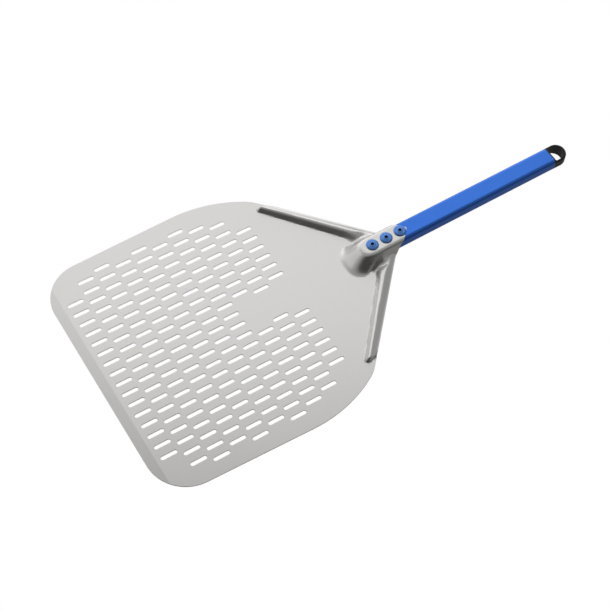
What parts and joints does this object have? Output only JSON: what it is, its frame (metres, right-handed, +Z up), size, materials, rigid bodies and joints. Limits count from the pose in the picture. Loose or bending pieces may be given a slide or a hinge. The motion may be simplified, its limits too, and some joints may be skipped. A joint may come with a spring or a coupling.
{
  "type": "pizza peel",
  "caption": "Perforated rectangular pizza peel: pressed aluminium blade riveted to a short blue tube handle with a hanging loop.",
  "frame": {"origin": "centre of the bounding box, on the flat underside of the blade", "axes": "+Y from the blade's front edge to the handle's end, +Z up out of the blade's top face, +X to the right when the peel is held by the handle"},
  "size_m": [0.3308, 0.6577, 0.0279],
  "materials": {
    "blade_sheet": "satin anodised, warm grey",
    "handle_anodised": "satin anodised, blue",
    "rivet_anodised": "satin anodised, blue",
    "mandrel_steel": "dark, as broken off",
    "cap_plastic": "moulded, fine texture"
  },
  "bodies": {
    "root": {"blade": "blade_sheet", "handle_tube": "handle_anodised", "end_cap": "cap_plastic", "rivet_body_1": "rivet_anodised", "rivet_body_2": "rivet_anodised", "rivet_body_3": "rivet_anodised", "rivet_mandrel_1": "mandrel_steel", "rivet_mandrel_2": "mandrel_steel", "rivet_mandrel_3": "mandrel_steel"}
  },
  "joints": []
}
